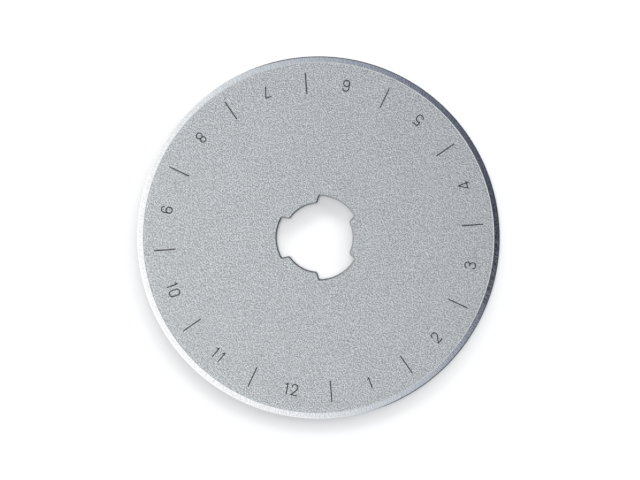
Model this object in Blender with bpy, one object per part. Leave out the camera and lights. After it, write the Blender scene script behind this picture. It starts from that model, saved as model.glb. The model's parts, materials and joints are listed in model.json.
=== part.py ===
# Rotary cutter blade: one ground steel disc with a three-lobed bore, a two-stage cutting edge
# and twelve etched graduation marks. Metres, +Z up, origin on the axis in the blade's mid-plane.

import math

import bmesh
import bpy
from mathutils import Matrix, Vector

# Disc
BLADE_DIAMETER = 0.045
BLADE_THICKNESS = 0.0003

# Cutting edge, ground alike from both faces: a wide bevel, then a steeper honed strip
BEVEL_WIDTH = 0.0007
HONE_WIDTH = 0.00011
HONE_ANGLE = math.radians(20)

# Bore: a round hole for the hub, opened out by lobes whose slanted walls stop the blade turning
BORE_DIAMETER = 0.0085
LOBE_COUNT = 3
LOBE_DEPTH = 0.00095
LOBE_SPAN = math.radians(58)
LOBE_WALL_SLANT = math.radians(13)
LOBE_FILLET = 0.0002
LAND_FILLET = 0.00034
FIRST_LOBE_TURN = math.radians(60)

# Rollover of the bore's edges, as the punch leaves it: further along the face than down the wall
ROLLOVER_REACH = 0.00017
ROLLOVER_DEPTH = 0.0001

# Graduation marks on the upper face, a ring turned a little from the lobes
MARK_COUNT = 12
MARK_LENGTH = 0.0027
MARK_WIDTH = 0.00015
MARK_DEPTH = 0.00002
MARK_TO_BEVEL = 0.0013
FIRST_MARK_TURN = math.radians(4.64)

# Fineness of the round forms
RIM_STEPS = 360
ARC_STEPS = 7
FILLET_STEPS = 4
ROLLOVER_STEPS = 4

# The most that a fillet takes of the wall it lies on
FILLET_SHARE = 0.8

BLADE_RADIUS = BLADE_DIAMETER / 2
BORE_RADIUS = BORE_DIAMETER / 2
LOBE_RADIUS = BORE_RADIUS + LOBE_DEPTH
SHOULDER_RADIUS = BLADE_RADIUS - BEVEL_WIDTH
FACE_HEIGHT = BLADE_THICKNESS / 2
QUARTER = math.pi / 2
AXIS = Vector((0, 0))
SATIN, GROUND, ETCHED = range(3)


def clear_scene():
    for obj in list(bpy.data.objects):
        bpy.data.objects.remove(obj)


def arc(centre, radius, start, end, steps):
    """Points on an arc from one direction to another, both ends included."""
    angles = [start + (end - start) * i / steps for i in range(steps + 1)]
    return [centre + radius * Vector((math.cos(a), math.sin(a))) for a in angles]


def add_loop(bm, outline, height):
    """A closed loop of edges at one height."""
    verts = [bm.verts.new((p.x, p.y, height)) for p in outline]
    return [bm.edges.new(pair) for pair in zip(verts, verts[1:] + verts[:1])]


def skin(bm, loops, material):
    """Joins each loop to the next one with a band of faces."""
    for upper, lower in zip(loops, loops[1:]):
        for face in bmesh.ops.bridge_loops(bm, edges=upper + lower)["faces"]:
            face.material_index = material


def crease(loops):
    """Keeps these loops sharp where the shading is smooth."""
    for loop in loops:
        for edge in loop:
            edge.smooth = False


def close_face(bm, loops):
    """Fills a flat face between its outer loop and the openings in it."""
    edges = [edge for loop in loops for edge in loop]
    filled = bmesh.ops.triangle_fill(bm, edges=edges, use_beauty=True, normal=(0, 0, 1))
    for item in filled["geom"]:
        if isinstance(item, bmesh.types.BMFace):
            item.material_index = SATIN


def rim_loops(bm):
    """The ground rim, from the upper face over the cutting edge to the lower face."""
    hone_radius = BLADE_RADIUS - HONE_WIDTH
    hone_height = HONE_WIDTH * math.tan(HONE_ANGLE)
    section = [
        (SHOULDER_RADIUS, FACE_HEIGHT),
        (hone_radius, hone_height),
        (BLADE_RADIUS, 0),
        (hone_radius, -hone_height),
        (SHOULDER_RADIUS, -FACE_HEIGHT),
    ]
    loops = []
    for radius, height in section:
        outline = arc(AXIS, radius, 0, 2 * math.pi, RIM_STEPS)[:-1]
        loops.append(add_loop(bm, outline, height))
    skin(bm, loops, GROUND)
    crease(loops)
    return loops[0], loops[-1]


def half_lobe(inset):
    """The bore's outline from the middle of a lobe, which lies along +X, to the middle of the
    next land. An inset carries every point that far into the steel, square to the outline."""
    fit = min(1, FILLET_SHARE * LOBE_DEPTH / (LOBE_FILLET + LAND_FILLET))
    lobe_fillet = LOBE_FILLET * fit
    land_fillet = LAND_FILLET * fit
    along_wall = Vector((math.cos(LOBE_WALL_SLANT), math.sin(LOBE_WALL_SLANT)))
    to_steel = Vector((-along_wall.y, along_wall.x))
    wall = LOBE_RADIUS * math.sin(LOBE_SPAN / 2 - LOBE_WALL_SLANT)

    # Each fillet's centre lies its own radius away from the wall and from the arc that it meets
    lobe_offset = wall - lobe_fillet
    lobe_reach = math.sqrt((LOBE_RADIUS - lobe_fillet) ** 2 - lobe_offset**2)
    lobe_centre = lobe_offset * to_steel + lobe_reach * along_wall
    lobe_end = math.atan2(lobe_centre.y, lobe_centre.x)
    land_offset = wall + land_fillet
    land_reach = math.sqrt((BORE_RADIUS + land_fillet) ** 2 - land_offset**2)
    land_centre = land_offset * to_steel + land_reach * along_wall
    land_start = math.atan2(land_centre.y, land_centre.x)

    lobe_turn = (lobe_end, LOBE_WALL_SLANT + QUARTER)
    land_turn = (LOBE_WALL_SLANT + 3 * QUARTER, land_start + 2 * QUARTER)
    return [
        *arc(AXIS, LOBE_RADIUS + inset, 0, lobe_end, ARC_STEPS),
        *arc(lobe_centre, lobe_fillet + inset, *lobe_turn, FILLET_STEPS)[1:],
        *arc(land_centre, land_fillet - inset, *land_turn, FILLET_STEPS),
        *arc(AXIS, BORE_RADIUS + inset, land_start, math.pi / LOBE_COUNT, ARC_STEPS)[1:],
    ]


def bore_outline(inset):
    """The whole outline: each lobe is a half and its mirror image, turned to its place."""
    half = half_lobe(inset)
    mirrored = [Vector((p.x, -p.y)) for p in half[1:-1]]
    lobe = mirrored[::-1] + half
    outline = []
    for i in range(LOBE_COUNT):
        turn = Matrix.Rotation(FIRST_LOBE_TURN + 2 * math.pi * i / LOBE_COUNT, 2)
        outline += [turn @ p for p in lobe]
    return outline


def bore_loops(bm):
    """The bore's wall, whose edges roll over in a quarter of an ellipse to each face."""
    depth = min(ROLLOVER_DEPTH, FILLET_SHARE * FACE_HEIGHT)
    section = []
    for i in range(ROLLOVER_STEPS + 1):
        angle = QUARTER * i / ROLLOVER_STEPS
        inset = ROLLOVER_REACH * (1 - math.sin(angle))
        section.append((inset, FACE_HEIGHT - depth * (1 - math.cos(angle))))
    section += [(inset, -height) for inset, height in section[::-1]]
    loops = [add_loop(bm, bore_outline(inset), height) for inset, height in section]
    skin(bm, loops, GROUND)
    return loops[0], loops[-1]


def mark_loops(bm):
    """Shallow etched slots with round ends, open at the upper face. Returns their mouths."""
    end = Vector((MARK_LENGTH / 2 - MARK_WIDTH / 2, 0))
    outer_end = arc(end, MARK_WIDTH / 2, -QUARTER, QUARTER, FILLET_STEPS)
    inner_end = arc(-end, MARK_WIDTH / 2, QUARTER, 3 * QUARTER, FILLET_STEPS)
    middle = Vector((SHOULDER_RADIUS - MARK_TO_BEVEL - MARK_LENGTH / 2, 0))
    mouths = []
    for i in range(MARK_COUNT):
        turn = Matrix.Rotation(FIRST_MARK_TURN + 2 * math.pi * i / MARK_COUNT, 2)
        outline = [turn @ (middle + p) for p in outer_end + inner_end]
        mouth = add_loop(bm, outline, FACE_HEIGHT)
        floor = add_loop(bm, outline, FACE_HEIGHT - MARK_DEPTH)
        skin(bm, [mouth, floor], ETCHED)
        crease([mouth, floor])
        for face in bmesh.ops.contextual_create(bm, geom=floor)["faces"]:
            face.material_index = ETCHED
        mouths.append(mouth)
    return mouths


def make_steel(name, colour, roughness, metallic):
    material = bpy.data.materials.new(name)
    material.use_nodes = True
    shader = material.node_tree.nodes["Principled BSDF"]
    shader.inputs["Base Color"].default_value = (*colour, 1)
    shader.inputs["Roughness"].default_value = roughness
    shader.inputs["Metallic"].default_value = metallic
    return material


def make_blade():
    bm = bmesh.new()
    upper_rim, lower_rim = rim_loops(bm)
    upper_bore, lower_bore = bore_loops(bm)
    close_face(bm, [upper_rim, upper_bore, *mark_loops(bm)])
    close_face(bm, [lower_rim, lower_bore])
    for face in bm.faces:
        face.smooth = True
    bmesh.ops.recalc_face_normals(bm, faces=bm.faces)

    mesh = bpy.data.meshes.new("blade")
    bm.to_mesh(mesh)
    bm.free()
    mesh.materials.append(make_steel("satin_steel", (0.47, 0.50, 0.52), 0.42, 1.0))
    mesh.materials.append(make_steel("ground_steel", (0.72, 0.74, 0.77), 0.16, 1.0))
    mesh.materials.append(make_steel("etched_mark", (0.05, 0.055, 0.06), 0.7, 0.0))
    blade = bpy.data.objects.new("blade", mesh)
    bpy.context.scene.collection.objects.link(blade)


clear_scene()
make_blade()
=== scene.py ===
import json
import math

import bmesh
import bpy
from mathutils import Matrix, Vector

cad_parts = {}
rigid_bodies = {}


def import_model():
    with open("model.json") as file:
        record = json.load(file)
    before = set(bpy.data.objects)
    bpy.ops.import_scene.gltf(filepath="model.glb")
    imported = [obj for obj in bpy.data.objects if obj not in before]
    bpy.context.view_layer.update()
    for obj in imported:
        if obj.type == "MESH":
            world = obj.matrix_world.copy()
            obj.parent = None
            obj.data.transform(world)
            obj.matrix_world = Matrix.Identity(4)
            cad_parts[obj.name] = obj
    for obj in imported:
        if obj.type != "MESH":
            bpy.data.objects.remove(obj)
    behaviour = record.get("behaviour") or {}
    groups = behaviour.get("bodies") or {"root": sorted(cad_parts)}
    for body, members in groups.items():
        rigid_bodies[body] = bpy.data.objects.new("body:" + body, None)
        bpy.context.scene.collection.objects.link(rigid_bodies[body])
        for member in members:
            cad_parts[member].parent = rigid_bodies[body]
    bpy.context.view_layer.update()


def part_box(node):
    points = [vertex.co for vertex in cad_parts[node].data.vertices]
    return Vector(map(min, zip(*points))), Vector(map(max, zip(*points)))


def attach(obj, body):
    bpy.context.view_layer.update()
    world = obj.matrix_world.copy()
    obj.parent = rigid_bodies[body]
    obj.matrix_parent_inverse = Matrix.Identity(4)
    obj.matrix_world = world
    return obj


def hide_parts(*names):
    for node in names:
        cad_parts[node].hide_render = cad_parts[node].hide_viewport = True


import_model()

# Rotary cutter blade: a ground steel disc with a keyed bore, twelve marks and the numerals 1 to 12

scene = bpy.context.scene
lowCorner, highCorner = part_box("blade")

# The shapes below are drawn in millimetres and brought to metres when the mesh is finished
mm = 0.001
nodeSpacing = 180  # between the nodes of a tree, as the editor shows them


# Node helpers

def newTree(name, sockets):
    # A geometry tree with one named input for each size. Returns the tree and these inputs.
    tree = bpy.data.node_groups.new(name, "GeometryNodeTree")
    tree.interface.new_socket("Geometry", in_out="OUTPUT", socket_type="NodeSocketGeometry")
    tree.interface.new_socket("Geometry", in_out="INPUT", socket_type="NodeSocketGeometry")
    for label, kind in sockets.items():
        tree.interface.new_socket(label, in_out="INPUT", socket_type="NodeSocket" + kind)
    return tree, tree.nodes.new("NodeGroupInput").outputs


def feed(tree, socket, value):
    # The value is a plain one, or the output socket that it comes from
    if isinstance(value, bpy.types.NodeSocket):
        tree.links.new(value, socket)
    else:
        socket.default_value = value


def add(tree, kind, inputs=None, **settings):
    node = tree.nodes.new(kind)
    node.location = (nodeSpacing * len(tree.nodes), 0)
    for name, value in settings.items():
        setattr(node, name, value)
    for name, value in (inputs or {}).items():
        feed(tree, node.inputs[name], value)
    return node


def result(tree, kind, inputs=None, **settings):
    # The first output of a new node
    return add(tree, kind, inputs, **settings).outputs[0]


def calc(tree, operation, *values):
    kind = "FunctionNodeBooleanMath" if operation == "AND" else "ShaderNodeMath"
    return result(tree, kind, dict(enumerate(values)), operation=operation)


def vectorCalc(tree, operation, *values):
    node = add(tree, "ShaderNodeVectorMath", dict(enumerate(values)), operation=operation)
    givesNumber = operation in ("LENGTH", "DISTANCE", "DOT_PRODUCT")
    return node.outputs["Value" if givesNumber else "Vector"]


def flatten(tree, vector):
    return vectorCalc(tree, "MULTIPLY", vector, (1, 1, 0))


def combine(tree, **parts):
    # A vector from its X, Y and Z. A part that isn't given is 0.
    return result(tree, "ShaderNodeCombineXYZ", parts)


def compare(tree, operation, a, b):
    return result(tree, "FunctionNodeCompare", {0: a, 1: b}, data_type="FLOAT", operation=operation)


def mapRange(tree, value, start=0.0, end=1.0, low=0.0, high=1.0, blend="LINEAR"):
    return result(tree, "ShaderNodeMapRange", {
        "Value": value, "From Min": start, "From Max": end, "To Min": low, "To Max": high,
    }, interpolation_type=blend)


def pick(tree, index, values):
    # The value at that index
    node = add(tree, "GeometryNodeIndexSwitch", data_type="FLOAT")
    while len(node.index_switch_items) < len(values):
        node.index_switch_items.new()
    feed(tree, node.inputs["Index"], index)
    for i, value in enumerate(values):
        feed(tree, node.inputs[str(i)], value)
    return node.outputs[0]


def joinAll(tree, parts):
    node = tree.nodes.new("GeometryNodeJoinGeometry")
    for part in reversed(parts):
        tree.links.new(part, node.inputs[0])
    return node.outputs[0]


def endTree(tree, body, material):
    body = result(tree, "GeometryNodeRealizeInstances", {"Geometry": body})
    body = result(tree, "GeometryNodeSetMaterial", {"Geometry": body, "Material": material})
    tree.links.new(body, add(tree, "NodeGroupOutput").inputs[0])


def runTree(obj, tree, values):
    # Sets the named inputs by their identifiers, then turns the result into the object's own mesh
    modifier = obj.modifiers.new(tree.name, "NODES")
    modifier.node_group = tree
    for item in tree.interface.items_tree:
        if item.in_out == "INPUT" and item.name in values:
            modifier[item.identifier] = values[item.name]
    evaluated = obj.evaluated_get(bpy.context.evaluated_depsgraph_get())
    mesh = bpy.data.meshes.new_from_object(evaluated)
    obj.modifiers.remove(modifier)
    mesh.name = obj.name
    obj.data = mesh


def cleanMesh(obj, reach):
    # Merges the doubles, turns every face outwards and counts the edges where the body is open
    bm = bmesh.new()
    bm.from_mesh(obj.data)
    bmesh.ops.remove_doubles(bm, verts=bm.verts, dist=reach)
    bmesh.ops.dissolve_degenerate(bm, edges=bm.edges, dist=reach)
    loose = [edge for edge in bm.edges if not edge.link_faces]
    bmesh.ops.delete(bm, geom=loose, context="EDGES")
    bmesh.ops.recalc_face_normals(bm, faces=bm.faces)
    openEdges = sum(len(edge.link_faces) != 2 for edge in bm.edges)
    bm.to_mesh(obj.data)
    bm.free()
    return openEdges


# Steel. Depths are in metres and noise scales are per metre, as on the finished blade.

def newMaterial(name):
    material = bpy.data.materials.new(name)
    material.use_nodes = True
    return material, material.node_tree


def setShader(tree, inputs):
    shader = tree.nodes["Principled BSDF"]
    for name, value in inputs.items():
        feed(tree, shader.inputs[name], value)


def noise(tree, place, scale, detail):
    return result(tree, "ShaderNodeTexNoise", {"Vector": place, "Scale": scale, "Detail": detail})


def addShare(tree, height, extra, share):
    # Adds a share of another noise, which swings round a half
    return calc(tree, "MULTIPLY_ADD", calc(tree, "SUBTRACT", extra, 0.5), share, height)


def blendColours(tree, factor, first, second):
    # A Mix node has sockets for each kind of value. Its colours go in at 6 and 7 and come out at 2.
    return add(tree, "ShaderNodeMix", {0: factor, 6: first, 7: second}, data_type="RGBA").outputs[2]


def bumpFrom(tree, height, depth):
    return result(tree, "ShaderNodeBump", {"Height": height, "Distance": depth, "Strength": 1.0})


satinLook = {
    "darkSteel": (0.38, 0.39, 0.39, 1),
    "paleSteel": (1.0, 1.0, 0.995, 1),
    "roughness": (0.35, 0.46),
    "grainScale": 7000,
    "grainDepth": 0.000012,
    "grainRange": (0.28, 0.72),
    "lineTurn": math.radians(-45),
    "lineScale": 19000,
    "lineStretch": 12,
    "lineShare": 0.7,
    "gritScale": 52000,
    "gritShare": 0.3,
    "cloudScale": 240,
    "cloudShare": 0.12,
}


def makeSatinSteel(look):
    # Fine grain on the flat faces, from lapping, with faint lines across it, a finer grit that shows
    # only close by and a faint cloudiness
    material, tree = newMaterial("satinSteel")
    place = add(tree, "ShaderNodeTexCoord").outputs["Object"]
    turned = result(tree, "ShaderNodeMapping", {
        "Vector": place, "Rotation": (0, 0, look["lineTurn"]), "Scale": (look["lineStretch"], 1, 1),
    }, vector_type="TEXTURE")
    grain = noise(tree, place, look["grainScale"], detail=0.0)
    lines = noise(tree, turned, look["lineScale"], detail=1.0)
    grit = noise(tree, place, look["gritScale"], detail=1.0)
    cloud = noise(tree, place, look["cloudScale"], detail=3.0)
    grain = addShare(tree, grain, lines, look["lineShare"])
    grain = addShare(tree, grain, grit, look["gritShare"])
    strong = mapRange(tree, grain, *look["grainRange"])
    blend = addShare(tree, strong, cloud, look["cloudShare"])
    low, high = look["roughness"]
    setShader(tree, {
        "Base Color": blendColours(tree, blend, look["darkSteel"], look["paleSteel"]),
        "Roughness": mapRange(tree, grain, low=low, high=high),
        "Metallic": 1.0,
        "Normal": bumpFrom(tree, grain, look["grainDepth"]),
    })
    return material


groundLook = {
    "darkSteel": (0.75, 0.75, 0.755, 1),
    "paleSteel": (0.89, 0.89, 0.895, 1),
    "roughness": (0.06, 0.14),
    "streaksAround": 120,
    "streakDrift": 2500,
    "streakDepth": 0.0000075,
    "streakRange": (0.25, 0.75),
    "linesAround": 700,
    "lineDrift": 1200,
    "lineShare": 0.3,
}
honedLook = {**groundLook, "streaksAround": 260, "streakDepth": 0.0000015}


def makeGroundSteel(name, look):
    # Grinding streaks that run across the bevel, and finer lines among them: noise on the
    # direction from the axis, with a little of the place mixed in so that none runs the whole way
    material, tree = newMaterial(name)
    place = add(tree, "ShaderNodeTexCoord").outputs["Object"]
    direction = vectorCalc(tree, "NORMALIZE", flatten(tree, place))

    def across(aroundScale, driftScale):
        around = vectorCalc(tree, "MULTIPLY", direction, (aroundScale,) * 3)
        drift = vectorCalc(tree, "MULTIPLY", place, (driftScale,) * 3)
        return noise(tree, vectorCalc(tree, "ADD", around, drift), scale=1.0, detail=1.0)

    streaks = across(look["streaksAround"], look["streakDrift"])
    lines = across(look["linesAround"], look["lineDrift"])
    streaks = addShare(tree, streaks, lines, look["lineShare"])
    streaks = mapRange(tree, streaks, *look["streakRange"], blend="SMOOTHSTEP")
    low, high = look["roughness"]
    setShader(tree, {
        "Base Color": blendColours(tree, streaks, look["darkSteel"], look["paleSteel"]),
        "Roughness": mapRange(tree, streaks, low=low, high=high),
        "Metallic": 1.0,
        "Normal": bumpFrom(tree, streaks, look["streakDepth"]),
    })
    return material


stampedLook = {
    # Both steel colours here are darker than bare steel: painted shade for the dark line round the bore
    "rolledSteelWithPaintedShade": (0.36, 0.36, 0.364, 1),
    "tornSteelWithPaintedShade": (0.06, 0.06, 0.062, 1),
    "rolledDepth": (0.00003, 0.00005),
    "rolledRoughness": 0.16,
    "tornRoughness": 0.55,
    "grainScale": 16000,
    "grainDepth": 0.000004,
}


def makeStampedSteel(look):
    # The bore's edge: smooth where the punch rolled it over, rough and torn further in. Both colours
    # are darker than bare steel, and the torn wall is near black: painted shade that draws the dark
    # line round the bore.
    material, tree = newMaterial("boreSteel")
    place = add(tree, "ShaderNodeTexCoord").outputs["Object"]
    grain = noise(tree, place, look["grainScale"], detail=2.0)
    height = calc(tree, "ABSOLUTE", add(tree, "ShaderNodeSeparateXYZ", {0: place}).outputs["Z"])
    start, end = (highCorner.z - depth for depth in look["rolledDepth"])
    rolled = mapRange(tree, height, end, start)
    setShader(tree, {
        "Base Color": blendColours(tree, rolled, look["tornSteelWithPaintedShade"], look["rolledSteelWithPaintedShade"]),
        "Roughness": mapRange(tree, rolled, low=look["tornRoughness"], high=look["rolledRoughness"]),
        "Metallic": 1.0,
        "Normal": bumpFrom(tree, grain, look["grainDepth"]),
    })
    return material


etchedLook = {
    "darkOxide": (0.006, 0.0065, 0.0075, 1),
    "paleOxide": (0.032, 0.034, 0.037, 1),
    "roughness": (0.55, 0.8),
    "metallic": 0.2,
    "grainScale": 26000,
    "grainDepth": 0.000003,
}


def makeEtchedMark(look):
    # The dark, rough floor that etching leaves in each mark
    material, tree = newMaterial("etchedMark")
    place = add(tree, "ShaderNodeTexCoord").outputs["Object"]
    grain = noise(tree, place, look["grainScale"], detail=2.0)
    low, high = look["roughness"]
    setShader(tree, {
        "Base Color": blendColours(tree, grain, look["darkOxide"], look["paleOxide"]),
        "Roughness": mapRange(tree, grain, low=low, high=high),
        "Metallic": look["metallic"],
        "Normal": bumpFrom(tree, grain, look["grainDepth"]),
    })
    return material


satinSteel = makeSatinSteel(satinLook)
groundSteel = makeGroundSteel("groundSteel", groundLook)
honedSteel = makeGroundSteel("honedSteel", honedLook)
boreSteel = makeStampedSteel(stampedLook)
etchedMark = makeEtchedMark(etchedLook)
print("steel finishes made")


# Blank: ground rim, keyed bore and the two flat faces

boreShape = {
    "boreDiameter": 8.5,
    "lobeCount": 3,
    "lobeDepth": 0.95,
    "lobeSpan": math.radians(58),
    "wallSlant": math.radians(13),
    "lobeFillet": 0.2,
    "landFillet": 0.34,
    "firstLobeTurn": math.radians(60),
    "arcSteps": 24,
    "filletSteps": 14,
}


def arc(centre, radius, start, end, steps):
    angles = [start + (end - start) * i / steps for i in range(steps + 1)]
    return [centre + radius * Vector((math.cos(a), math.sin(a))) for a in angles]


def halfLobe(shape):
    # From the middle of a lobe on +X to the middle of the next land. Each fillet's centre lies
    # its own radius away from the slanted wall and from the arc that it meets.
    landRadius = shape["boreDiameter"] / 2
    lobeRadius = landRadius + shape["lobeDepth"]
    slant = shape["wallSlant"]
    alongWall = Vector((math.cos(slant), math.sin(slant)))
    toSteel = Vector((-alongWall.y, alongWall.x))
    wall = lobeRadius * math.sin(shape["lobeSpan"] / 2 - slant)

    def filletCentre(offset, reach):
        return offset * toSteel + math.sqrt(reach**2 - offset**2) * alongWall

    lobeCentre = filletCentre(wall - shape["lobeFillet"], lobeRadius - shape["lobeFillet"])
    landCentre = filletCentre(wall + shape["landFillet"], landRadius + shape["landFillet"])
    lobeEnd = math.atan2(lobeCentre.y, lobeCentre.x)
    landStart = math.atan2(landCentre.y, landCentre.x)
    axis = Vector((0, 0))
    quarter = math.pi / 2
    steps = shape["filletSteps"]
    return [
        *arc(axis, lobeRadius, 0, lobeEnd, shape["arcSteps"]),
        *arc(lobeCentre, shape["lobeFillet"], lobeEnd, slant + quarter, steps)[1:],
        *arc(landCentre, shape["landFillet"], slant + 3 * quarter, landStart + 2 * quarter, steps),
        *arc(axis, landRadius, landStart, math.pi / shape["lobeCount"], shape["arcSteps"])[1:],
    ]


def boreOutline(shape):
    half = halfLobe(shape)
    mirrored = [Vector((p.x, -p.y)) for p in half[1:-1]]
    lobe = mirrored[::-1] + half
    outline = []
    for i in range(shape["lobeCount"]):
        turn = Matrix.Rotation(shape["firstLobeTurn"] + 2 * math.pi * i / shape["lobeCount"], 2)
        outline += [turn @ p for p in lobe]
    return outline


def drawCurve(name, strokes):
    # strokes: (closed, points) for each spline, points in millimetres on the flat
    curve = bpy.data.curves.new(name, "CURVE")
    curve.dimensions = "3D"
    for closed, points in strokes:
        spline = curve.splines.new("POLY")
        spline.points.add(len(points) - 1)
        for target, (x, y) in zip(spline.points, points):
            target.co = (x, y, 0, 1)
        spline.use_cyclic_u = closed
    obj = bpy.data.objects.new(name, curve)
    scene.collection.objects.link(obj)
    return obj


# Here and in markShape, the names that begin with a capital are the inputs of the tree
rimShape = {
    "Diameter": (highCorner.x - lowCorner.x) / mm,
    "Thickness": (highCorner.z - lowCorner.z) / mm,
    "Bevel Width": 0.7,
    "Hone Width": 0.11,
    "Hone Angle": math.radians(20),
    "Lip Width": 0.07,
    "Lip Height": 0.01,
    "Dip Width": 0.4,
    "Rim Steps": 720,
    "Rollover Depth": 0.1,
    "Rollover Reach": 0.17,
    "Round Steps": 12,
    "Weld Distance": 0.0005,
    "cleanReach": 0.0002,
}
shoulderRadius = rimShape["Diameter"] / 2 - rimShape["Bevel Width"]
lipRadius = shoulderRadius - rimShape["Lip Width"]
honeRadius = rimShape["Diameter"] / 2 - rimShape["Hone Width"]
faceHeight = rimShape["Thickness"] / 2


def rimTube(tree, rings, steps):
    # rings: radius and height of each ring, counted from the edge, alike above and below it. The
    # tube starts with its rings 1 apart, so that the height of a point is the number of its ring.
    last = len(rings) - 1
    tube = result(tree, "GeometryNodeMeshCylinder", {
        "Vertices": steps, "Side Segments": 2 * last, "Radius": 1.0, "Depth": 2.0 * last,
    }, fill_type="NONE")
    place = result(tree, "GeometryNodeInputPosition")
    parts = add(tree, "ShaderNodeSeparateXYZ", {0: place}).outputs
    ring = result(tree, "FunctionNodeFloatToInt", {0: calc(tree, "ABSOLUTE", parts["Z"])})
    radius, height = (pick(tree, ring, values) for values in zip(*rings))
    newPlace = combine(
        tree,
        X=calc(tree, "MULTIPLY", parts["X"], radius),
        Y=calc(tree, "MULTIPLY", parts["Y"], radius),
        Z=calc(tree, "MULTIPLY", calc(tree, "SIGN", parts["Z"]), height),
    )
    return result(tree, "GeometryNodeSetPosition", {"Geometry": tube, "Position": newPlace})


def boreWall(tree, outline, height, depth, reach, steps):
    # A section with both corners rounded, swept round the keyed outline. The punch rolls the edge
    # over further along the face than down the wall.
    below = calc(tree, "MULTIPLY", height, -1.0)
    corners = ((depth, height), (0.0, height), (0.0, below), (depth, below))
    section = result(tree, "GeometryNodeCurvePrimitiveQuadrilateral", {
        f"Point {i + 1}": combine(tree, X=x, Y=y) for i, (x, y) in enumerate(corners)
    }, mode="POINTS")
    section = result(tree, "GeometryNodeSetSplineCyclic", {"Geometry": section, "Cyclic": False})
    section = result(tree, "GeometryNodeFilletCurve", {
        "Curve": section, "Radius": depth, "Limit Radius": True, "Count": steps,
    }, mode="POLY")
    stretch = combine(tree, X=calc(tree, "DIVIDE", reach, depth), Y=1.0, Z=1.0)
    section = result(tree, "GeometryNodeTransform", {"Geometry": section, "Scale": stretch})
    path = add(tree, "GeometryNodeObjectInfo", {"Object": outline}).outputs["Geometry"]
    path = result(tree, "GeometryNodeSetCurveNormal", {"Curve": path}, mode="Z_UP")
    return result(tree, "GeometryNodeCurveToMesh", {"Curve": path, "Profile Curve": section})


def flatFace(tree, shell, height, side):
    # Fills the space between the rim and the bore. side: 1 for the upper face, -1 for the lower
    edgeFaces = result(tree, "GeometryNodeInputMeshEdgeNeighbors")
    isOpen = compare(tree, "LESS_THAN", edgeFaces, 1.5)  # an open edge has one face, others two
    place = result(tree, "GeometryNodeInputPosition")
    level = add(tree, "ShaderNodeSeparateXYZ", {0: place}).outputs["Z"]
    onSide = compare(tree, "GREATER_THAN", calc(tree, "MULTIPLY", level, side), 0.0)
    loops = result(tree, "GeometryNodeMeshToCurve", {
        "Mesh": shell, "Selection": calc(tree, "AND", isOpen, onSide),
    })
    face = result(tree, "GeometryNodeFillCurve", {"Curve": loops}, mode="TRIANGLES")
    lift = combine(tree, Z=calc(tree, "MULTIPLY", height, side))
    return result(tree, "GeometryNodeSetPosition", {"Geometry": face, "Offset": lift})


def blankTree():
    tree, size = newTree("bladeBlank", {
        "Diameter": "Float", "Thickness": "Float", "Bevel Width": "Float", "Hone Width": "Float",
        "Hone Angle": "Float", "Lip Width": "Float", "Lip Height": "Float", "Dip Width": "Float",
        "Rim Steps": "Int", "Bore Outline": "Object", "Rollover Depth": "Float",
        "Rollover Reach": "Float", "Round Steps": "Int", "Weld Distance": "Float",
    })
    radius = calc(tree, "DIVIDE", size["Diameter"], 2.0)
    height = calc(tree, "DIVIDE", size["Thickness"], 2.0)
    shoulder = calc(tree, "SUBTRACT", radius, size["Bevel Width"])
    hone = calc(tree, "SUBTRACT", radius, size["Hone Width"])
    honeSlope = calc(tree, "TANGENT", size["Hone Angle"])

    # The grinding leaves a lip at the shoulder, and inside it the face dips a little
    lip = calc(tree, "SUBTRACT", shoulder, size["Lip Width"])
    rings = (
        (radius, 0.0),
        (hone, calc(tree, "MULTIPLY", size["Hone Width"], honeSlope)),
        (shoulder, height),
        (lip, calc(tree, "SUBTRACT", height, size["Lip Height"])),
        (calc(tree, "SUBTRACT", lip, size["Dip Width"]), height),
    )
    shell = joinAll(tree, [
        rimTube(tree, rings, size["Rim Steps"]),
        boreWall(
            tree, size["Bore Outline"], height,
            size["Rollover Depth"], size["Rollover Reach"], size["Round Steps"],
        ),
    ])
    faces = [flatFace(tree, shell, height, side) for side in (1.0, -1.0)]
    body = result(tree, "GeometryNodeMergeByDistance", {
        "Geometry": joinAll(tree, [shell, *faces]), "Distance": size["Weld Distance"],
    })
    endTree(tree, body, satinSteel)
    return tree


blade = bpy.data.objects.new("keyedBlade", bpy.data.meshes.new("keyedBlade"))
scene.collection.objects.link(blade)
outlineCurve = drawCurve("boreOutline", [(True, boreOutline(boreShape))])
runTree(blade, blankTree(), {**rimShape, "Bore Outline": outlineCurve})
bpy.data.objects.remove(outlineCurve)
openEdges = cleanMesh(blade, rimShape["cleanReach"])
print("blade blank:", len(blade.data.polygons), "faces, open edges", openEdges)


# Marks and numerals, cut into the upper face

markShape = {
    "Mark Count": 12,
    "Mark Length": 2.7,
    "Mark Width": 0.15,
    "Mark To Bevel": 1.3,
    "Mark Turn": math.radians(4.64),
    "Numeral Radius": 19.15,
    "Numeral Turn": math.radians(289.64),
    "Stroke Width": 0.14,
    "Corner Round": 0.36,
    "Corner Steps": 8,
    "End Steps": 20,
    "Cut Depth": 0.02,
    "cleanReach": 0.0005,
}
numeralShape = {"width": 0.73, "height": 1.34, "pitch": 0.94}

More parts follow.
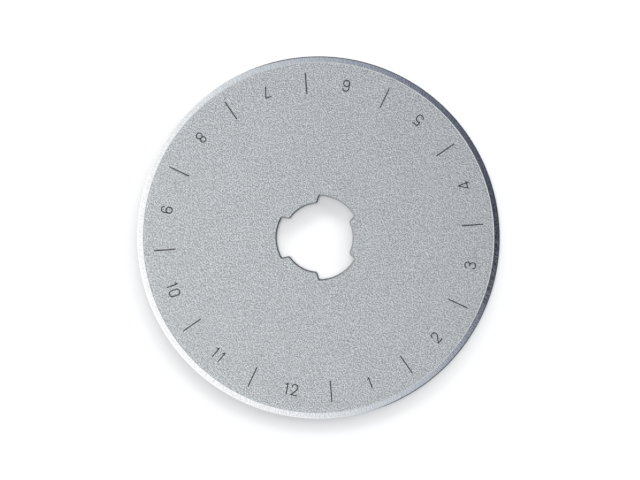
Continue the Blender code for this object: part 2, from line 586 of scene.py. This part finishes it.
# Strokes on a cell one wide and one high. True closes a stroke, and inner corners are rounded later.
digitStrokes = {
    "0": [(True, ((0, 0), (1, 0), (1, 1), (0, 1)))],
    "1": [(False, ((0.22, 0.86), (0.5, 1))), (False, ((0.5, 1), (0.5, 0)))],
    "2": [(False, ((0, 0.76), (0, 1), (1, 1), (1, 0.6), (0, 0))), (False, ((0, 0), (1, 0)))],
    "3": [
        (False, ((0.02, 0.8), (0.02, 1), (0.96, 1), (0.96, 0.54), (0.4, 0.54))),
        (False, ((0.4, 0.54), (1, 0.54), (1, 0), (0, 0), (0, 0.22))),
    ],
    "4": [
        (False, ((0.76, 1), (-0.1, 0.21))),
        (False, ((-0.1, 0.21), (1.06, 0.21))),
        (False, ((0.78, 1), (0.82, 0))),
    ],
    "5": [
        (False, ((0.98, 1), (0.06, 1))),
        (False, ((0.06, 1), (0.04, 0.62))),
        (False, ((0.04, 0.66), (1, 0.66), (1, 0), (0, 0), (0, 0.2))),
    ],
    "6": [
        (False, ((0.96, 0.8), (0.96, 1), (0, 1), (0, 0.3))),
        (True, ((0, 0), (1, 0), (1, 0.58), (0, 0.58))),
    ],
    "7": [(False, ((0.04, 1), (1, 1))), (False, ((1, 1), (0.38, 0)))],
    "8": [
        (True, ((0.04, 0.53), (0.96, 0.53), (0.96, 1), (0.04, 1))),
        (True, ((0, 0), (1, 0), (1, 0.53), (0, 0.53))),
    ],
    "9": [
        (True, ((0, 0.42), (1, 0.42), (1, 1), (0, 1))),
        (False, ((1, 0.7), (1, 0), (0.04, 0), (0.04, 0.2))),
    ],
}


def drawNumeral(number, shape):
    text = str(number)
    strokes = []
    for place, digit in enumerate(text):
        left = (place - (len(text) - 1) / 2) * shape["pitch"] - shape["width"] / 2
        for closed, points in digitStrokes[digit]:
            scaled = [(left + x * shape["width"], (y - 0.5) * shape["height"]) for x, y in points]
            strokes.append((closed, scaled))
    return drawCurve(f"numeral{number:02d}", strokes)


def ringOfPoints(tree, count, radius, turn, quarterTurns):
    # Points on a circle, and for each the turn that a copy there needs
    points = result(tree, "GeometryNodePoints", {"Count": count})
    step = calc(tree, "DIVIDE", 2 * math.pi, count)
    angle = calc(tree, "MULTIPLY_ADD", result(tree, "GeometryNodeInputIndex"), step, turn)
    place = combine(
        tree,
        X=calc(tree, "MULTIPLY", calc(tree, "COSINE", angle), radius),
        Y=calc(tree, "MULTIPLY", calc(tree, "SINE", angle), radius),
    )
    points = result(tree, "GeometryNodeSetPosition", {"Geometry": points, "Position": place})
    return points, combine(tree, Z=calc(tree, "ADD", angle, quarterTurns * math.pi / 2))


def strokeCutter(tree, strokes, width, depth, endSteps):
    # A square-sided cutter along each stroke, with a round one at both its ends
    tall = calc(tree, "MULTIPLY", depth, 2.0)
    section = result(tree, "GeometryNodeCurvePrimitiveQuadrilateral", {"Width": width, "Height": tall})
    upright = result(tree, "GeometryNodeSetCurveNormal", {"Curve": strokes}, mode="Z_UP")
    runs = result(tree, "GeometryNodeCurveToMesh", {
        "Curve": upright, "Profile Curve": section, "Fill Caps": True,
    })
    drill = result(tree, "GeometryNodeMeshCylinder", {
        "Vertices": endSteps, "Radius": calc(tree, "DIVIDE", width, 2.0), "Depth": tall,
    })
    ends = result(tree, "GeometryNodeInstanceOnPoints", {
        "Points": strokes, "Selection": result(tree, "GeometryNodeCurveEndpointSelection"),
        "Instance": drill,
    })
    return joinAll(tree, [runs, ends])


def markTree():
    tree, size = newTree("bladeMarks", {
        "Shoulder Radius": "Float", "Face Height": "Float", "Mark Count": "Int", "Mark Length": "Float",
        "Mark Width": "Float", "Mark To Bevel": "Float", "Mark Turn": "Float", "Numerals": "Collection",
        "Numeral Radius": "Float", "Numeral Turn": "Float", "Stroke Width": "Float",
        "Corner Round": "Float", "Corner Steps": "Int", "End Steps": "Int", "Cut Depth": "Float",
    })

    # Marks: one line along +X, centred on its place and copied round the ring
    straight = calc(tree, "SUBTRACT", size["Mark Length"], size["Mark Width"])
    start, end = (combine(tree, X=calc(tree, "MULTIPLY", straight, share)) for share in (-0.5, 0.5))
    line = result(tree, "GeometryNodeCurvePrimitiveLine", {"Start": start, "End": end})
    outerEnd = calc(tree, "SUBTRACT", size["Shoulder Radius"], size["Mark To Bevel"])
    middle = calc(tree, "SUBTRACT", outerEnd, calc(tree, "DIVIDE", size["Mark Length"], 2.0))
    points, facing = ringOfPoints(tree, size["Mark Count"], middle, size["Mark Turn"], 0)
    marks = result(tree, "GeometryNodeInstanceOnPoints", {
        "Points": points, "Instance": line, "Rotation": facing,
    })
    marks = result(tree, "GeometryNodeRealizeInstances", {"Geometry": marks})

    # Numerals: the strokes of each, their tops towards the bore
    labels = result(tree, "GeometryNodeCollectionInfo", {
        "Collection": size["Numerals"], "Separate Children": True, "Reset Children": True,
    })
    points, facing = ringOfPoints(
        tree, size["Mark Count"], size["Numeral Radius"], size["Numeral Turn"], 1,
    )
    numerals = result(tree, "GeometryNodeInstanceOnPoints", {
        "Points": points, "Instance": labels, "Pick Instance": True, "Rotation": facing,
        "Instance Index": result(tree, "GeometryNodeInputIndex"),
    })
    numerals = result(tree, "GeometryNodeRealizeInstances", {"Geometry": numerals})
    numerals = result(tree, "GeometryNodeFilletCurve", {
        "Curve": numerals, "Radius": size["Corner Round"], "Limit Radius": True,
        "Count": size["Corner Steps"],
    }, mode="POLY")

    cutters = joinAll(tree, [
        strokeCutter(tree, strokes, size[width], size["Cut Depth"], size["End Steps"])
        for strokes, width in ((marks, "Mark Width"), (numerals, "Stroke Width"))
    ])
    cutters = result(tree, "GeometryNodeRealizeInstances", {"Geometry": cutters})
    cutters = result(tree, "GeometryNodeSetPosition", {
        "Geometry": cutters, "Offset": combine(tree, Z=size["Face Height"]),
    })
    body = result(tree, "GeometryNodeMeshBoolean", {
        "Mesh 1": size["Geometry"], "Mesh 2": cutters, "Self Intersection": True,
    }, operation="DIFFERENCE", solver="EXACT")
    endTree(tree, body, satinSteel)
    return tree


numeralCollection = bpy.data.collections.new("numerals")
for number in range(1, markShape["Mark Count"] + 1):
    numeral = drawNumeral(number, numeralShape)
    scene.collection.objects.unlink(numeral)
    numeralCollection.objects.link(numeral)
runTree(blade, markTree(), {
    **markShape,
    "Numerals": numeralCollection,
    "Shoulder Radius": shoulderRadius,
    "Face Height": faceHeight,
})
for numeral in list(numeralCollection.objects):
    bpy.data.objects.remove(numeral)
bpy.data.collections.remove(numeralCollection)
openEdges = cleanMesh(blade, markShape["cleanReach"])
print("marks and numerals cut:", len(blade.data.polygons), "faces, open edges", openEdges)


# Finish of each face, then metres

bladeFinish = {
    "materials": (satinSteel, groundSteel, honedSteel, boreSteel, etchedMark),
    "flat": (satinSteel, etchedMark),
    "sunkBy": 0.0002,
    "sharpAngle": math.radians(7),
}


def finishAt(place):
    # The place of a face tells which operation made it. Inside the dip, only the faces of the bore
    # and of the marks lie below the flat ones.
    reach = place.xy.length
    sunk = abs(place.z) < faceHeight - bladeFinish["sunkBy"]
    if reach > honeRadius or lipRadius < reach < shoulderRadius:
        return honedSteel
    if reach > lipRadius:
        return groundSteel
    if not sunk or reach >= lipRadius - rimShape["Dip Width"]:
        return satinSteel
    return boreSteel if reach < boreShape["boreDiameter"] else etchedMark  # marks lie far outside


def finishFaces(obj, finish):
    mesh = obj.data
    mesh.materials.clear()
    for material in finish["materials"]:
        mesh.materials.append(material)
    for polygon in mesh.polygons:
        polygon.material_index = finish["materials"].index(finishAt(polygon.center))


def shadeFaces(obj, finish):
    # Round forms are smooth. The flat faces stay flat, whatever they meet.
    mesh = obj.data
    mesh.shade_smooth()
    mesh.set_sharp_from_angle(angle=finish["sharpAngle"])
    for polygon in mesh.polygons:
        polygon.use_smooth = finish["materials"][polygon.material_index] not in finish["flat"]


finishFaces(blade, bladeFinish)
blade.data.transform(Matrix.Diagonal((mm, mm, mm, 1)))
shadeFaces(blade, bladeFinish)
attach(blade, "root")
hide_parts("blade")
print("blade finished")


# Floor, light and camera

floorLook = {"size": 3.0, "gap": 0.000002, "colour": (0.86, 0.86, 0.86, 1), "roughness": 0.9}


def makeFloor(look):
    half = look["size"] / 2
    level = lowCorner.z - look["gap"]
    corners = [(x * half, y * half, level) for x, y in ((-1, -1), (1, -1), (1, 1), (-1, 1))]
    mesh = bpy.data.meshes.new("floor")
    mesh.from_pydata(corners, [], [(0, 1, 2, 3)])
    floor = bpy.data.objects.new("floor", mesh)
    scene.collection.objects.link(floor)
    material, tree = newMaterial("paleFloor")
    setShader(tree, {"Base Color": look["colour"], "Roughness": look["roughness"]})
    mesh.materials.append(material)
    return floor


# tiers: the lowest and highest angle of each row of strips, and its power
# strips: the turn of each strip in a row, and its share of that power
lightLook = {
    "middle": math.radians(82),
    "distance": 2.0,
    "halfWidth": math.radians(25),
    "tiers": ((math.radians(4), math.radians(8), 80), (math.radians(8), math.radians(14), 6)),
    "strips": ((math.radians(-50), 0.6), (0, 1), (math.radians(50), 0.6)),
    "overheadSize": 1.6,
    "overheadPower": 3.5,
}


def addAreaLight(name, size, power, place, receivers):
    light = bpy.data.lights.new(name, "AREA")
    light.shape = "RECTANGLE"
    light.size, light.size_y = size
    light.energy = power
    obj = bpy.data.objects.new(name, light)
    scene.collection.objects.link(obj)
    obj.location = place
    obj.rotation_mode = "QUATERNION"
    obj.rotation_quaternion = (-Vector(place)).to_track_quat("-Z", "Y")
    obj.visible_camera = False
    obj.light_linking.receiver_collection = receivers


def makeFloorLights(look, floor):
    # Low strips on one side draw the long soft shadow round the rim. They light the floor only.
    receivers = bpy.data.collections.new("litByFloorLights")
    receivers.objects.link(floor)
    distance = look["distance"]
    width = 2 * distance * math.tan(look["halfWidth"])
    for low, high, power in look["tiers"]:
        bottom, top = distance * math.tan(low), distance * math.tan(high)
        for turn, share in look["strips"]:
            azimuth = look["middle"] + turn
            place = (distance * math.cos(azimuth), distance * math.sin(azimuth), (bottom + top) / 2)
            addAreaLight("lowStrip", (width, top - bottom), power * share, place, receivers)
    side = look["overheadSize"]
    addAreaLight("overhead", (side, side), look["overheadPower"], (0, 0, distance), receivers)


# The sky grows brighter towards one side. Its levels and tints go by the lean of a direction, from
# -1 straight away from that side to 1 straight towards it. A round black card hangs on the other
# side, which is also dark lower down, and the walls of the room stand round it all. The reach, the
# starts and the ends say how far out a part of the sky lies on a dome one high.
skyLook = {
    "brightAzimuth": math.radians(200.5),
    "strength": 1.82,
    "levels": (
        (-0.42, 0.07), (-0.36, 0.12), (-0.31, 0.21), (-0.23, 0.28), (-0.12, 0.37), (0, 0.415),
        (0.12, 0.49), (0.25, 0.635), (0.36, 0.615), (0.5, 0.66), (0.8, 0.98),
    ),
    "tints": ((-0.42, (0.67, 0.75, 1)), (0, (0.875, 0.945, 1)), (0.25, (0.985, 0.995, 1))),
    "card": (0, 0, 0, 1),
    "cardAzimuth": math.radians(353.5),
    "cardReach": 0.43,
    "cardRadius": (0.12, 0.155),
    "lowDark": (0.04, 0.044, 0.052, 1),
    "lowStart": 0.5,
    "lowEnd": 0.6,
    "sideBlend": 0.05,
    "wall": (0.4, 0.406, 0.412, 1),
    "wallStart": 0.8,
    "wallEnd": 0.9,
}


def leanRamp(tree, lean, stops):
    place = calc(tree, "MULTIPLY_ADD", lean, 0.5, 0.5)  # a ramp runs from 0 to 1, the lean from -1 to 1
    node = add(tree, "ShaderNodeValToRGB", {"Fac": place})
    elements = node.color_ramp.elements  # a new ramp has two stops already
    for element, (at, colour) in zip(elements, (stops[0], stops[-1])):
        element.position, element.color = at / 2 + 0.5, (*colour, 1)
    for at, colour in stops[1:-1]:
        elements.new(at / 2 + 0.5).color = (*colour, 1)
    return node.outputs[0]


def makeSky(look):
    world = bpy.data.worlds.new("studio")
    world.use_nodes = True
    tree = world.node_tree
    direction = add(tree, "ShaderNodeTexCoord").outputs["Generated"]
    towards = (math.cos(look["brightAzimuth"]), math.sin(look["brightAzimuth"]), 0)
    lean = vectorCalc(tree, "DOT_PRODUCT", direction, towards)
    level = leanRamp(tree, lean, [(at, (brightness,) * 3) for at, brightness in look["levels"]])
    colour = vectorCalc(tree, "MULTIPLY", level, leanRamp(tree, lean, look["tints"]))

    def smoothStep(value, start, end):
        return mapRange(tree, value, start, end, blend="SMOOTHSTEP")

    azimuth, cardReach = look["cardAzimuth"], look["cardReach"]
    card = (cardReach * math.cos(azimuth), cardReach * math.sin(azimuth), math.sqrt(1 - cardReach**2))
    inner, outer = look["cardRadius"]
    onCard = smoothStep(vectorCalc(tree, "DISTANCE", direction, card), outer, inner)
    colour = blendColours(tree, onCard, colour, look["card"])

    reach = vectorCalc(tree, "LENGTH", flatten(tree, direction))
    low = smoothStep(reach, look["lowStart"], look["lowEnd"])
    darkSide = smoothStep(lean, look["sideBlend"], -look["sideBlend"])
    colour = blendColours(tree, calc(tree, "MULTIPLY", low, darkSide), colour, look["lowDark"])
    atWall = smoothStep(reach, look["wallStart"], look["wallEnd"])
    colour = blendColours(tree, atWall, colour, look["wall"])

    background = tree.nodes["Background"]
    tree.links.new(colour, background.inputs["Color"])
    background.inputs["Strength"].default_value = look["strength"]
    scene.world = world


# Frame and disc are in pixels, the height in metres and the sensor in millimetres
cameraLook = {
    "height": 0.3,
    "sensorWidth": 36,
    "frameWide": 640,
    "frameHigh": 480,
    "discAcross": 362.3,
    "discCentre": (318.6, 237.5),
}


def makeCamera(look):
    # Straight above the blade, so that the disc has the photo's size and place in the frame
    data = bpy.data.cameras.new("camera")
    camera = bpy.data.objects.new("camera", data)
    scene.collection.objects.link(camera)
    pixel = (highCorner.x - lowCorner.x) / look["discAcross"]
    data.sensor_width = look["sensorWidth"]
    data.lens = data.sensor_width * look["height"] / (pixel * look["frameWide"])
    x, y = look["discCentre"]
    camera.location = (
        (look["frameWide"] / 2 - x) * pixel,
        (y - look["frameHigh"] / 2) * pixel,
        look["height"],
    )
    scene.camera = camera


makeFloorLights(lightLook, makeFloor(floorLook))
makeSky(skyLook)
makeCamera(cameraLook)
scene.view_settings.view_transform = "Standard"
print("stage ready")
